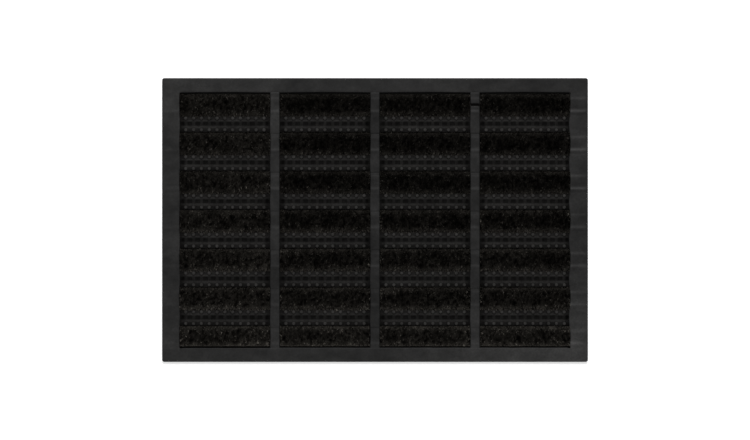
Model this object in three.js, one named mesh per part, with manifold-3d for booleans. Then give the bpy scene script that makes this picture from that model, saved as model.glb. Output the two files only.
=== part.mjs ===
// A rubber scraper door mat with strips of brush pile, in millimetres.
//
// The mat lies on its underside. X runs along its long side, Y across it and Z up, and the
// origin is the middle of the underside. From the floor up it is laid as follows:
//   backing_sheet       the flat rubber sheet under everything
//   pile_strip_N        a textile strip as long as the mat: a ground cloth with brush pile
//   border_grid         the border and the bars, which hold the strips down
//   stud_band_rN_cM     a rubber band between two strips, with two rows of studs and two rails
// Row 1 is the one with the largest Y, and column 1 the one with the smallest X.

import * as THREE from "three";
import { mergeVertices } from "three/addons/utils/BufferGeometryUtils.js";
import Module from "manifold-3d";

const wasm = await Module();
wasm.setup();

// ---- Driving dimensions ----

// Plan of the whole mat.
const MAT_LENGTH = 600;
const MAT_WIDTH = 400;
const CORNER_RADIUS = 3;
const END_BORDER = 24.5; // rubber beside the first and last column, along X
const FAR_BORDER = 20.5; // rubber between the windows and the edge at +Y
const NEAR_BORDER = 19; // rubber between the windows and the edge at -Y
const FAR_SLIT = 1; // between the border at +Y and the first pile strip
const COLUMNS = 4;
const BAR_WIDTH = 13; // rubber bar between two columns
const STUD_BANDS = 6; // stud bands in each column, one between each two pile strips
const STUD_BAND_WIDTH = 22.5;

// Thickness of each layer, from the floor up.
const BACKING_THICKNESS = 2;
const CLOTH_THICKNESS = 1;
const FRAME_COVER = 3; // border and bars, above the ground cloth
const BAND_COVER = 1.5; // floor of a stud band, above the ground cloth
const PILE_HEIGHT = 6.5; // above the ground cloth
const EDGE_BEVEL = 1; // bevel on the top edges of the border and the bars
const PILE_ROUND = 1.5; // rounding of the pile's top edges

// Ground cloth under its neighbours.
const CLOTH_TUCK = 3.5; // how far each long edge runs under the rubber
const CLOTH_END_MARGIN = 6.5; // from each end of the cloth to the end of the mat

// Studs and rails of a stud band.
const STUD_PITCH = 11;
const STUD_END_ROOM = 8; // least distance from the last stud's middle to the window's edge
const STUD_EDGE_ROOM = 3.15; // from the middle of a row to the edge of the band
const STUD_BASE_DIAMETER = 4.8;
const STUD_TOP_DIAMETER = 4;
const STUD_HEIGHT = 3.5;
const STUD_SIDES = 6;
const RAIL_STUD_ROOM = 3.5; // from the middle of a row to the middle of the rail beside it
const RAIL_WIDTH = 1.8;
const RAIL_HEIGHT = 1;

// The break that the moulding left in one bar, across the first pile strip.
const BREAK_WIDTH = 3.5;
const BREAK_BAR = 3; // counted from the smallest X
const BREAK_STRIP = 1; // counted from the largest Y

// Gap between the sides of neighbours, and how far a cutting or joined solid runs past a face.
const FIT_GAP = 0.3;
const OVERRUN = 0.5;
const CORNER_STEPS = 4;
const PILE_ROUND_STEPS = 2;

// ---- Levels and pitches that follow from them ----

const PILE_STRIPS = STUD_BANDS + 1;
const BACKING_TOP = BACKING_THICKNESS;
const CLOTH_TOP = BACKING_TOP + CLOTH_THICKNESS;
const FRAME_TOP = CLOTH_TOP + FRAME_COVER;
const BAND_TOP = CLOTH_TOP + BAND_COVER;
const PILE_TOP = CLOTH_TOP + PILE_HEIGHT;

const WINDOW_LENGTH = (MAT_LENGTH - 2 * END_BORDER - (COLUMNS - 1) * BAR_WIDTH) / COLUMNS;
const WINDOW_WIDTH = MAT_WIDTH - FAR_BORDER - NEAR_BORDER;
const WINDOW_Y = (NEAR_BORDER - FAR_BORDER) / 2; // middle of the windows
const PILE_WIDTH = (WINDOW_WIDTH - FAR_SLIT - STUD_BANDS * STUD_BAND_WIDTH) / PILE_STRIPS;
const ROWS_Y = WINDOW_Y - FAR_SLIT / 2; // middle of the rows of pile and studs
const COLUMN_PITCH = WINDOW_LENGTH + BAR_WIDTH;
const BAND_PITCH = PILE_WIDTH + STUD_BAND_WIDTH;
const CLOTH_LENGTH = MAT_LENGTH - 2 * CLOTH_END_MARGIN;
const CLOTH_WIDTH = PILE_WIDTH + 2 * CLOTH_TUCK;
const STUD_ROW_OFFSET = STUD_BAND_WIDTH / 2 - STUD_EDGE_ROOM; // from the middle of the band
const RAIL_OFFSET = STUD_ROW_OFFSET - RAIL_STUD_ROOM; // from the middle of the band
const STUDS_PER_ROW = Math.floor((WINDOW_LENGTH - 2 * STUD_END_ROOM) / STUD_PITCH) + 1;

/** Middle of copy number index (from 1) of count copies spread evenly about zero. */
function spread(index, count, pitch) {
  return (index - (count + 1) / 2) * pitch;
}

/** X of the middle of a column. */
const columnX = (column) => spread(column, COLUMNS, COLUMN_PITCH);
/** X of the middle of a bar. */
const barX = (bar) => spread(bar, COLUMNS - 1, COLUMN_PITCH);
/** Y of the middle of a row of stud bands. */
const bandY = (row) => ROWS_Y - spread(row, STUD_BANDS, BAND_PITCH);
/** Y of the middle of a pile strip. */
const stripY = (strip) => ROWS_Y - spread(strip, PILE_STRIPS, BAND_PITCH);

// ---- Materials ----

const RUBBER = new THREE.MeshStandardMaterial({ color: 0x2c2b2a, roughness: 0.7, metalness: 0 });
const BAND_RUBBER = new THREE.MeshStandardMaterial({ color: 0x232221, roughness: 0.75, metalness: 0 });
const PILE = new THREE.MeshStandardMaterial({ color: 0x0e0d0b, roughness: 1, metalness: 0 });

// ---- Joining and cutting ----

/** The closed solid inside a geometry, ready to be joined or cut. */
function solidOf(geometry) {
  geometry.deleteAttribute("normal");
  geometry.deleteAttribute("uv");
  const merged = mergeVertices(geometry, 1e-4);
  const mesh = new wasm.Mesh({
    numProp: 3,
    vertProperties: merged.attributes.position.array,
    triVerts: Uint32Array.from(merged.index.array),
  });
  return new wasm.Manifold(mesh);
}

/** The surface of a solid as a geometry. */
function geometryOf(solid) {
  const mesh = solid.getMesh();
  const geometry = new THREE.BufferGeometry();
  geometry.setAttribute("position", new THREE.BufferAttribute(mesh.vertProperties, 3));
  geometry.setIndex(new THREE.BufferAttribute(mesh.triVerts, 1));
  geometry.computeVertexNormals();
  return geometry;
}

/** A box between two levels, with its middle at x, y. */
function slab(length, width, bottom, top, x = 0, y = 0) {
  const box = new THREE.BoxGeometry(length, width, top - bottom);
  box.translate(x, y, (bottom + top) / 2);
  return solidOf(box);
}

// ---- Outlines ----

/** A rectangle about x = 0, y = 0 with round corners. */
function roundedRectangle(length, width, radius) {
  const x = length / 2;
  const y = width / 2;
  const outline = new THREE.Shape();
  outline.moveTo(-x + radius, -y);
  outline.lineTo(x - radius, -y);
  outline.absarc(x - radius, -y + radius, radius, -Math.PI / 2, 0, false);
  outline.lineTo(x, y - radius);
  outline.absarc(x - radius, y - radius, radius, 0, Math.PI / 2, false);
  outline.lineTo(-x + radius, y);
  outline.absarc(-x + radius, y - radius, radius, Math.PI / 2, Math.PI, false);
  outline.lineTo(-x, -y + radius);
  outline.absarc(-x + radius, -y + radius, radius, Math.PI, (3 * Math.PI) / 2, false);
  return outline;
}

/** A rectangle with its middle at x, y. */
function rectangle(length, width, x, y = 0) {
  const outline = new THREE.Shape();
  outline.moveTo(x - length / 2, y - width / 2);
  outline.lineTo(x + length / 2, y - width / 2);
  outline.lineTo(x + length / 2, y + width / 2);
  outline.lineTo(x - length / 2, y + width / 2);
  outline.closePath();
  return outline;
}

/** An outline raised from one level to another, with eased top edges and a flat underside. */
function raised(outline, bottom, top, ease, easeSteps) {
  const geometry = new THREE.ExtrudeGeometry(outline, {
    depth: top - ease - bottom,
    bevelThickness: ease,
    bevelSize: ease,
    bevelOffset: -ease,
    bevelSegments: easeSteps,
    curveSegments: CORNER_STEPS,
  });
  geometry.translate(0, 0, bottom);
  const kept = slab(2 * MAT_LENGTH, 2 * MAT_WIDTH, bottom, top + OVERRUN);
  return solidOf(geometry).intersect(kept);
}

// ---- Sub-parts ----

/** The flat rubber sheet that everything lies on. */
function backingSheet() {
  const outline = roundedRectangle(MAT_LENGTH, MAT_WIDTH, CORNER_RADIUS);
  return new THREE.ExtrudeGeometry(outline, {
    depth: BACKING_THICKNESS,
    bevelEnabled: false,
    curveSegments: CORNER_STEPS,
  });
}

/** The space of one window, flared at the top to bevel the rubber about it. */
function windowSpace(column) {
  const x = columnX(column);
  const outline = rectangle(WINDOW_LENGTH, WINDOW_WIDTH, x, WINDOW_Y);
  const flare = new THREE.ExtrudeGeometry(outline, {
    depth: OVERRUN,
    bevelThickness: EDGE_BEVEL,
    bevelSize: EDGE_BEVEL,
    bevelSegments: 1,
  });
  flare.translate(0, 0, FRAME_TOP);
  const bottom = BACKING_TOP - OVERRUN;
  const top = FRAME_TOP + OVERRUN;
  return slab(WINDOW_LENGTH, WINDOW_WIDTH, bottom, top, x, WINDOW_Y).add(solidOf(flare));
}

/** The border and bars, hollowed under each ground cloth, with the break in one bar. */
function borderGrid() {
  const outline = roundedRectangle(MAT_LENGTH, MAT_WIDTH, CORNER_RADIUS);
  let grid = raised(outline, BACKING_TOP, FRAME_TOP, EDGE_BEVEL, 1);
  for (let column = 1; column <= COLUMNS; column += 1) {
    grid = grid.subtract(windowSpace(column));
  }
  for (let strip = 1; strip <= PILE_STRIPS; strip += 1) {
    const length = CLOTH_LENGTH + 2 * FIT_GAP;
    const width = CLOTH_WIDTH + 2 * FIT_GAP;
    grid = grid.subtract(slab(length, width, BACKING_TOP - OVERRUN, CLOTH_TOP, 0, stripY(strip)));
  }
  const barBreak = slab(
    BAR_WIDTH + 2 * OVERRUN,
    BREAK_WIDTH,
    BACKING_TOP - OVERRUN,
    FRAME_TOP + OVERRUN,
    barX(BREAK_BAR),
    stripY(BREAK_STRIP),
  );
  return geometryOf(grid.subtract(barBreak));
}

/** A ground cloth with a block of pile standing in each window. */
function pileStrip() {
  let strip = slab(CLOTH_LENGTH, CLOTH_WIDTH, BACKING_TOP, CLOTH_TOP);
  const rootLevel = CLOTH_TOP - CLOTH_THICKNESS / 2;
  for (let column = 1; column <= COLUMNS; column += 1) {
    const length = WINDOW_LENGTH - 2 * FIT_GAP;
    const width = PILE_WIDTH - 2 * FIT_GAP;
    const outline = rectangle(length, width, columnX(column));
    strip = strip.add(raised(outline, rootLevel, PILE_TOP, PILE_ROUND, PILE_ROUND_STEPS));
  }
  return geometryOf(strip);
}

/** Cross-section of a stud band: a stem between two cloths, a floor over their edges, two rails. */
function bandSection() {
  const edge = STUD_BAND_WIDTH / 2;
  const stem = edge - CLOTH_TUCK - FIT_GAP;
  const outer = RAIL_OFFSET + RAIL_WIDTH / 2;
  const inner = RAIL_OFFSET - RAIL_WIDTH / 2;
  const railTop = BAND_TOP + RAIL_HEIGHT;
  const half = [
    [stem, BACKING_TOP],
    [stem, CLOTH_TOP],
    [edge, CLOTH_TOP],
    [edge, BAND_TOP],
    [outer, BAND_TOP],
    [outer, railTop],
    [inner, railTop],
    [inner, BAND_TOP],
  ];
  const mirrored = half.map(([y, z]) => [-y, z]).reverse();
  return new THREE.Shape([...half, ...mirrored].map(([y, z]) => new THREE.Vector2(y, z)));
}

/** One tapered stud, standing from inside the band's floor. */
function stud(x, y) {
  const height = STUD_HEIGHT + OVERRUN;
  const slope = (STUD_BASE_DIAMETER - STUD_TOP_DIAMETER) / STUD_HEIGHT;
  const rootDiameter = STUD_BASE_DIAMETER + slope * OVERRUN;
  const cone = new THREE.CylinderGeometry(STUD_TOP_DIAMETER / 2, rootDiameter / 2, height, STUD_SIDES);
  cone.rotateX(Math.PI / 2);
  cone.translate(x, y, BAND_TOP - OVERRUN + height / 2);
  return solidOf(cone);
}

/** A stud band for one window, with its rows of studs. */
function studBand() {
  const length = WINDOW_LENGTH - 2 * FIT_GAP;
  const bar = new THREE.ExtrudeGeometry(bandSection(), { depth: length, bevelEnabled: false });
  bar.translate(0, 0, -length / 2);
  const alongX = new THREE.Matrix4().makeBasis(
    new THREE.Vector3(0, 1, 0),
    new THREE.Vector3(0, 0, 1),
    new THREE.Vector3(1, 0, 0),
  );
  bar.applyMatrix4(alongX);
  let band = solidOf(bar);
  for (let index = 1; index <= STUDS_PER_ROW; index += 1) {
    const x = spread(index, STUDS_PER_ROW, STUD_PITCH);
    band = band.add(stud(x, STUD_ROW_OFFSET)).add(stud(x, -STUD_ROW_OFFSET));
  }
  return geometryOf(band);
}

// ---- Assembly ----

const mat = new THREE.Group();

/** Puts a named piece in the mat, moved in plan only. */
function place(name, geometry, material, x = 0, y = 0) {
  const mesh = new THREE.Mesh(geometry, material);
  mesh.name = name;
  mesh.position.set(x, y, 0);
  mat.add(mesh);
}

place("backing_sheet", backingSheet(), RUBBER);
place("border_grid", borderGrid(), RUBBER);

const stripGeometry = pileStrip();
for (let strip = 1; strip <= PILE_STRIPS; strip += 1) {
  place(`pile_strip_${strip}`, stripGeometry, PILE, 0, stripY(strip));
}

const bandGeometry = studBand();
for (let row = 1; row <= STUD_BANDS; row += 1) {
  for (let column = 1; column <= COLUMNS; column += 1) {
    place(`stud_band_r${row}_c${column}`, bandGeometry, BAND_RUBBER, columnX(column), bandY(row));
  }
}

export default mat;
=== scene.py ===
"""Looks of a rubber scraper door mat with strips of brush pile.

The rubber is a border ring, three bars, stud bands and a backing sheet with a grip pattern
below. Between the stud bands stand bristles, tufted into ground cloths that run the whole
length of the mat under the bars. Sizes are in metres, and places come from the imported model.
"""

import logging
import math
from dataclasses import dataclass, field
from enum import Enum

import bmesh
import bpy
import numpy as np
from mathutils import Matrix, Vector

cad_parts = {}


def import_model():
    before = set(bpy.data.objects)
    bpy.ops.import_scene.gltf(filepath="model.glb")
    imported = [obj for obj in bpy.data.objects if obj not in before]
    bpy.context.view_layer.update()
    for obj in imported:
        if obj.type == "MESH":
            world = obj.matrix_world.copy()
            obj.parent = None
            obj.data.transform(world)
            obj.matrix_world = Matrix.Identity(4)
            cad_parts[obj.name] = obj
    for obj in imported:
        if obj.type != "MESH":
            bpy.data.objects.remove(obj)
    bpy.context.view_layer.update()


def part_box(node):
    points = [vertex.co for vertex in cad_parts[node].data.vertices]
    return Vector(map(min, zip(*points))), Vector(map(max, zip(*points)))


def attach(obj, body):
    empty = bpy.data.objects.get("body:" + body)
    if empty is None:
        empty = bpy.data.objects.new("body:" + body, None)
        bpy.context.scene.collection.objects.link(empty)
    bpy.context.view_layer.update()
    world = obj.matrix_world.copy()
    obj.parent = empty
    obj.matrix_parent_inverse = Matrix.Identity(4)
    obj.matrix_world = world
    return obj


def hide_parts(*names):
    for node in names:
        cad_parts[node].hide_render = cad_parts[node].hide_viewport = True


LOG = logging.getLogger("door_mat")
MM = 0.001
ROWS = 6
COLUMNS = 4
STRIPS = ROWS + 1
BODY = "root"


class Slot(Enum):
    """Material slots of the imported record."""

    BACKING = "backing_rubber"
    BORDER = "border_rubber"
    BAND = "band_rubber"
    PILE = "pile"


# ---------------------------------------------------------------- shared arithmetic


def ease(value: np.ndarray, low: float, high: float) -> np.ndarray:
    """Smooth step 3t^2 - 2t^3, with t rising from 0 at low to 1 at high.

    Args:
        value: where to evaluate.
        low: start of the step.
        high: end of the step.

    Returns:
        The step's height, from 0 to 1.
    """
    share = np.clip((value - low) / (high - low), 0.0, 1.0)
    return share * share * (3.0 - 2.0 * share)


def bump_at(value: np.ndarray, centre: float, spread: float) -> np.ndarray:
    """Gaussian exp(-((v - c) / s)^2), a ridge of height 1 about centre.

    Args:
        value: where to evaluate.
        centre: the ridge's middle.
        spread: distance at which the ridge has fallen to 1/e.

    Returns:
        The ridge's height.
    """
    return np.exp(-(((value - centre) / spread) ** 2))


class Ripple:
    """Smooth random relief: seeded values on a lattice, blended by 3t^2 - 2t^3 both ways."""

    CELLS = 128

    def __init__(self, pitch: float, seed: int, stretch: float = 1.0) -> None:
        """Draws the lattice.

        Args:
            pitch: lattice spacing along X.
            seed: seed of the random values.
            stretch: lattice spacing along Y, in pitches.
        """
        draws = np.random.default_rng(seed)
        self.table = draws.uniform(-1.0, 1.0, (self.CELLS, self.CELLS))
        self.pitch_x = pitch
        self.pitch_y = pitch * stretch

    def at(self, x: np.ndarray, y: np.ndarray) -> np.ndarray:
        """Relief from -1 to 1 at each point.

        Args:
            x: coordinates along the mat.
            y: coordinates across the mat.

        Returns:
            The relief, shaped like x.
        """
        across, along = x / self.pitch_x, y / self.pitch_y
        column, row = np.floor(across).astype(int), np.floor(along).astype(int)
        share_x, share_y = across - column, along - row
        share_x = share_x * share_x * (3.0 - 2.0 * share_x)
        share_y = share_y * share_y * (3.0 - 2.0 * share_y)
        left, right = column % self.CELLS, (column + 1) % self.CELLS
        low, high = row % self.CELLS, (row + 1) % self.CELLS
        bottom = self.table[left, low] * (1 - share_x) + self.table[right, low] * share_x
        top = self.table[left, high] * (1 - share_x) + self.table[right, high] * share_x
        return bottom * (1 - share_y) + top * share_y


# ---------------------------------------------------------------- places from the frame


@dataclass(frozen=True)
class Span:
    """A stretch of one axis.

    Attributes:
        low: where it starts.
        high: where it ends.
    """

    low: float
    high: float

    @property
    def middle(self) -> float:
        """Middle of the stretch."""
        return (self.low + self.high) / 2

    @property
    def half(self) -> float:
        """Half its length."""
        return (self.high - self.low) / 2

    def grown(self, by: float) -> "Span":
        """The stretch with both ends moved outwards by a distance."""
        return Span(self.low - by, self.high + by)


@dataclass(frozen=True)
class MatFrame:
    """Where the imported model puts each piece.

    Attributes:
        length: the mat along X.
        width: the mat along Y.
        windows: each column's window along X, from the lowest X.
        bands: each row of stud bands along Y, from the highest Y.
        strips: each strip of pile along Y, between bands or border, from the highest Y.
        cloths: each ground cloth along Y, from the highest Y.
        cloth_run: a ground cloth along X.
        backing_top: top of the backing sheet.
        cloth_top: top of the ground cloths.
        frame_top: top of the border and the bars.
        stud_top: top of the studs.
        pile_top: top of the pile.
    """

    length: Span
    width: Span
    windows: tuple[Span, ...]
    bands: tuple[Span, ...]
    strips: tuple[Span, ...]
    cloths: tuple[Span, ...]
    cloth_run: Span
    backing_top: float
    cloth_top: float
    frame_top: float
    stud_top: float
    pile_top: float

    FIT_GAP = 0.3 * MM
    CLOTH_THICKNESS = 1.0 * MM
    FAR_SLIT = 1.0 * MM

    @classmethod
    def read(cls) -> "MatFrame":
        """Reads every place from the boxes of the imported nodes."""
        grid_low, grid_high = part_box("border_grid")
        cloth_low, cloth_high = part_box("pile_strip_1")
        boxes = [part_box(f"stud_band_r1_c{column}") for column in range(1, COLUMNS + 1)]
        windows = [Span(low.x, high.x).grown(cls.FIT_GAP) for low, high in boxes]
        rows = [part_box(f"stud_band_r{row}_c1") for row in range(1, ROWS + 1)]
        bands = [Span(low.y, high.y) for low, high in rows]
        runs = [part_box(f"pile_strip_{strip}") for strip in range(1, STRIPS + 1)]
        cloths = [Span(low.y, high.y) for low, high in runs]
        tuck = cloths[1].half - (bands[0].low - bands[1].high) / 2
        return cls(
            length=Span(grid_low.x, grid_high.x),
            width=Span(grid_low.y, grid_high.y),
            windows=tuple(windows),
            bands=tuple(bands),
            strips=tuple(cloth.grown(-tuck) for cloth in cloths),
            cloths=tuple(cloths),
            cloth_run=Span(cloth_low.x, cloth_high.x),
            backing_top=cloth_low.z,
            cloth_top=cloth_low.z + cls.CLOTH_THICKNESS,
            frame_top=grid_high.z,
            stud_top=boxes[0][1].z,
            pile_top=cloth_high.z,
        )

    @property
    def opening(self) -> tuple[Span, Span]:
        """The border's inner rectangle, along X and along Y."""
        along_x = Span(self.windows[0].low, self.windows[-1].high)
        return along_x, Span(self.strips[-1].low, self.strips[0].high + self.FAR_SLIT)

    @property
    def strip_middles(self) -> np.ndarray:
        """Y of the middle of each strip of pile."""
        return np.array([strip.middle for strip in self.strips])

    def bar(self, index: int) -> Span:
        """A bar along X, counted from 0 at the lowest X."""
        return Span(self.windows[index].high, self.windows[index + 1].low)


# ---------------------------------------------------------------- meshes


def new_piece(name: str, points: np.ndarray, faces: list[np.ndarray]) -> bpy.types.Object:
    """Makes a mesh object at the origin from whole arrays.

    Args:
        name: the piece's name.
        points: vertices, shaped (n, 3).
        faces: arrays of vertex numbers, one array for each number of corners.

    Returns:
        The linked object.
    """
    mesh = bpy.data.meshes.new(name)
    mesh.vertices.add(len(points))
    mesh.vertices.foreach_set("co", np.ascontiguousarray(points, np.float32).ravel())
    corners = np.concatenate([face.ravel() for face in faces]).astype(np.int32)
    counts = np.concatenate([np.full(len(face), face.shape[1]) for face in faces])
    starts = np.concatenate([[0], np.cumsum(counts)[:-1]]).astype(np.int32)
    mesh.loops.add(len(corners))
    mesh.loops.foreach_set("vertex_index", corners)
    mesh.polygons.add(len(counts))
    mesh.polygons.foreach_set("loop_start", starts)
    mesh.update(calc_edges=True)
    mesh.polygons.foreach_set("use_smooth", np.ones(len(counts), bool))
    piece = bpy.data.objects.new(name, mesh)
    bpy.context.scene.collection.objects.link(piece)
    return piece


def store_value(piece: bpy.types.Object, name: str, values: np.ndarray) -> None:
    """Stores one value for each vertex of a piece.

    Args:
        piece: the piece.
        name: the attribute's name.
        values: one value for each vertex.
    """
    layer = piece.data.attributes.new(name, "FLOAT", "POINT")
    layer.data.foreach_set("value", np.ascontiguousarray(values, np.float32).ravel())


def lattice_faces(rows: int, columns: int, wrap_rows: bool, wrap_columns: bool) -> np.ndarray:
    """Quads of a grid of vertices numbered row by row.

    Args:
        rows: vertices along the first direction.
        columns: vertices along the second direction.
        wrap_rows: whether the last row joins the first.
        wrap_columns: whether the last column joins the first.

    Returns:
        Vertex numbers, shaped (n, 4).
    """
    row = np.arange(rows if wrap_rows else rows - 1)[:, None]
    column = np.arange(columns if wrap_columns else columns - 1)[None, :]
    below, beside = (row + 1) % rows, (column + 1) % columns
    quads = [row * columns + column, row * columns + beside]
    quads += [below * columns + beside, below * columns + column]
    return np.stack(np.broadcast_arrays(*quads), axis=-1).reshape(-1, 4)


def face_outwards(piece: bpy.types.Object) -> None:
    """Turns every face of a closed piece outwards.

    Args:
        piece: the piece.
    """
    shell = bmesh.new()
    shell.from_mesh(piece.data)
    bmesh.ops.recalc_face_normals(shell, faces=shell.faces)
    shell.to_mesh(piece.data)
    shell.free()


def relief_block(
    x: np.ndarray, y: np.ndarray, relief: np.ndarray, flat: float
) -> tuple[np.ndarray, list[np.ndarray]]:
    """A closed block with one face in relief: points (x, y, relief), and a flat face opposite.

    Args:
        x: grid lines along X.
        y: grid lines along Y.
        relief: height at each crossing, shaped (len(x), len(y)).
        flat: height of the flat face.

    Returns:
        Vertices, and faces by number of corners.
    """
    rows, columns = len(x), len(y)
    plan_x, plan_y = np.meshgrid(x, y, indexing="ij")
    surface = np.stack([plan_x, plan_y, relief], axis=-1).reshape(-1, 3)
    first_row, last_row = np.arange(columns), (rows - 1) * columns + np.arange(columns)
    first_side, last_side = np.arange(rows) * columns, np.arange(rows) * columns + columns - 1
    rim = np.concatenate([first_row, last_side[1:], last_row[::-1][1:], first_side[::-1][1:-1]])
    foot = surface[rim].copy()
    foot[:, 2] = flat
    number = len(surface) + np.arange(len(rim))
    beside = np.roll(np.arange(len(rim)), -1)
    walls = np.stack([rim, rim[beside], number[beside], number], axis=-1)
    quads = np.concatenate([lattice_faces(rows, columns, False, False), walls])
    return np.concatenate([surface, foot]), [quads, number[None, :]]


def joined(
    parts: list[tuple[np.ndarray, list[np.ndarray]]],
) -> tuple[np.ndarray, list[np.ndarray]]:
    """Puts several sets of vertices and faces into one, keeping each set's own vertices.

    Args:
        parts: the sets, each with its vertices and its faces by number of corners.

    Returns:
        All vertices, and all faces.
    """
    points, faces, offset = [], [], 0
    for part_points, part_faces in parts:
        points.append(part_points)
        faces += [face + offset for face in part_faces]
        offset += len(part_points)
    return np.concatenate(points), faces


def finish_piece(
    piece: bpy.types.Object, material: bpy.types.Material, slot: Slot, *nodes: str
) -> bpy.types.Object:
    """Dresses a piece, ties it to the mat and hides the CAD nodes that it replaces.

    Args:
        piece: the object.
        material: its material.
        slot: its slot in the record; it is not used.
        nodes: CAD nodes that it replaces.

    Returns:
        The same object.
    """
    piece.data.materials.append(material)
    if nodes:
        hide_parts(*nodes)
    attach(piece, BODY)
    LOG.info("%s: %d faces", piece.name, len(piece.data.polygons))
    return piece


# ---------------------------------------------------------------- finishes


class Nodes:
    """A material's node tree, with short calls for what the finishes need."""

    def __init__(self, name: str) -> None:
        """Starts a material with one Principled shader.

        Args:
            name: the material's name.
        """
        self.material = bpy.data.materials.new(name)
        self.material.use_nodes = True
        self.tree = self.material.node_tree
        self.shader = self.tree.nodes["Principled BSDF"]
        self.place = self.tree.nodes.new("ShaderNodeTexCoord").outputs["Object"]

    def link(self, source: bpy.types.NodeSocket, target: bpy.types.NodeSocket) -> None:
        """Joins two sockets."""
        self.tree.links.new(source, target)

    def stretched(self, scale: tuple[float, float, float]) -> bpy.types.NodeSocket:
        """Object coordinates, scaled along each axis.

        Args:
            scale: factor along X, Y and Z.

        Returns:
            The scaled coordinates.
        """
        mapping = self.tree.nodes.new("ShaderNodeMapping")
        mapping.inputs["Scale"].default_value = scale
        self.link(self.place, mapping.inputs["Vector"])
        return mapping.outputs["Vector"]

    def noise(
        self, scale: float, detail: float, roughness: float, vector: bpy.types.NodeSocket
    ) -> bpy.types.NodeSocket:
        """Fractal noise from 0 to 1.

        Args:
            scale: lumps per metre.
            detail: octaves.
            roughness: share that each octave keeps.
            vector: where it is read.

        Returns:
            The noise.
        """
        noise = self.tree.nodes.new("ShaderNodeTexNoise")
        noise.inputs["Scale"].default_value = scale
        noise.inputs["Detail"].default_value = detail
        noise.inputs["Roughness"].default_value = roughness
        self.link(vector, noise.inputs["Vector"])
        return noise.outputs["Fac"]

    def ramp(
        self, source: bpy.types.NodeSocket, span: tuple[float, float], low: float, high: float
    ) -> bpy.types.NodeSocket:
        """Maps a span of a value to another span, clamped.

        Args:
            source: the value.
            span: the value's two ends.
            low: result at the first end.
            high: result at the second end.

        Returns:
            The result.
        """
        spread = self.tree.nodes.new("ShaderNodeMapRange")
        spread.inputs["From Min"].default_value, spread.inputs["From Max"].default_value = span
        spread.inputs["To Min"].default_value = low
        spread.inputs["To Max"].default_value = high
        self.link(source, spread.inputs["Value"])
        return spread.outputs["Result"]

    def arithmetic(
        self, kind: str, first: bpy.types.NodeSocket, second: bpy.types.NodeSocket
    ) -> bpy.types.NodeSocket:
        """Adds, multiplies or otherwise joins two values.

        Args:
            kind: the operation's name in the Math node.
            first: first value.
            second: second value.

        Returns:
            The result.
        """
        node = self.tree.nodes.new("ShaderNodeMath")
        node.operation = kind
        self.link(first, node.inputs[0])
        self.link(second, node.inputs[1])
        return node.outputs["Value"]

    def between(
        self,
        share: bpy.types.NodeSocket,
        first: tuple[float, float, float],
        second: tuple[float, float, float],
    ) -> bpy.types.NodeSocket:
        """Blends from one colour to another.

        Args:
            share: 0 for the first colour, 1 for the second; it isn't clamped.
            first: colour at 0.
            second: colour at 1.

        Returns:
            The colour.
        """
        mix = self.tree.nodes.new("ShaderNodeMix")
        mix.data_type = "RGBA"
        mix.clamp_factor = False
        sockets = {socket.identifier: socket for socket in mix.inputs}
        sockets["A_Color"].default_value = (*first, 1.0)
        sockets["B_Color"].default_value = (*second, 1.0)
        self.link(share, sockets["Factor_Float"])
        return next(socket for socket in mix.outputs if socket.identifier == "Result_Color")

    def relief(self, height: bpy.types.NodeSocket, depth: float) -> None:
        """Lets a height tilt the surface.

        Args:
            height: relief, where 1 stands for one depth.
            depth: what a height of 1 is, in metres.
        """
        bump = self.tree.nodes.new("ShaderNodeBump")
        bump.inputs["Distance"].default_value = depth
        self.link(height, bump.inputs["Height"])
        self.link(bump.outputs["Normal"], self.shader.inputs["Normal"])

    def attribute(self, name: str) -> bpy.types.NodeSocket:
        """A value stored on the mesh.

        Args:
            name: the attribute's name.

        Returns:
            The value.
        """
        node = self.tree.nodes.new("ShaderNodeAttribute")
        node.attribute_name = name
        return node.outputs["Fac"]


@dataclass(frozen=True)
class Rubber:
    """Moulded black rubber with cloudy bloom, flow marks and a fine grain.

    A value on the mesh says how light it is, from 0 in hollows to 1 and more on tops: it carries
    painted shade in hollows and painted light on tops, besides the rubber's own clouds.

    Attributes:
        name: the material's name.
        hollow: colour at a value of 0, for painted shade in hollows.
        pale_and_lit: colour at a value of 1, for painted light on tops and for pale rubber.
        roughness: least and most roughness.
        specular: strength of the reflection.
        grain_depth: depth of the fine grain.
        flow: clouds per metre along X and Y, which draws them out along the flow.
    """

    TONE = "tone"

    name: str
    hollow: tuple[float, float, float]
    pale_and_lit: tuple[float, float, float]
    roughness: tuple[float, float] = (0.38, 0.5)
    specular: float = 0.1
    grain_depth: float = 0.04 * MM
    flow: tuple[float, float] = (34.0, 60.0)

    def material(self) -> bpy.types.Material:
        """Builds the node material."""
        nodes = Nodes(self.name)
        clouds = nodes.noise(1.0, 5.0, 0.6, nodes.stretched((*self.flow, 60.0)))
        specks = nodes.noise(420.0, 3.0, 0.6, nodes.place)
        grain = nodes.noise(1900.0, 2.0, 0.5, nodes.place)
        cloudy = nodes.ramp(clouds, (0.3, 0.7), 0.72, 1.28)
        speckled = nodes.ramp(specks, (0.35, 0.75), 0.8, 1.3)
        mottle = nodes.arithmetic("MULTIPLY", cloudy, speckled)
        # The stored tone carries painted light and shade as well as lighter and darker rubber.
        share = nodes.arithmetic("MULTIPLY", nodes.attribute(self.TONE), mottle)
        nodes.link(nodes.between(share, self.hollow, self.pale_and_lit), nodes.shader.inputs["Base Color"])
        rough = nodes.ramp(clouds, (0.3, 0.7), *self.roughness)
        nodes.link(rough, nodes.shader.inputs["Roughness"])
        nodes.shader.inputs["Specular IOR Level"].default_value = self.specular
        nodes.relief(nodes.arithmetic("ADD", grain, specks), self.grain_depth)
        return nodes.material


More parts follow.
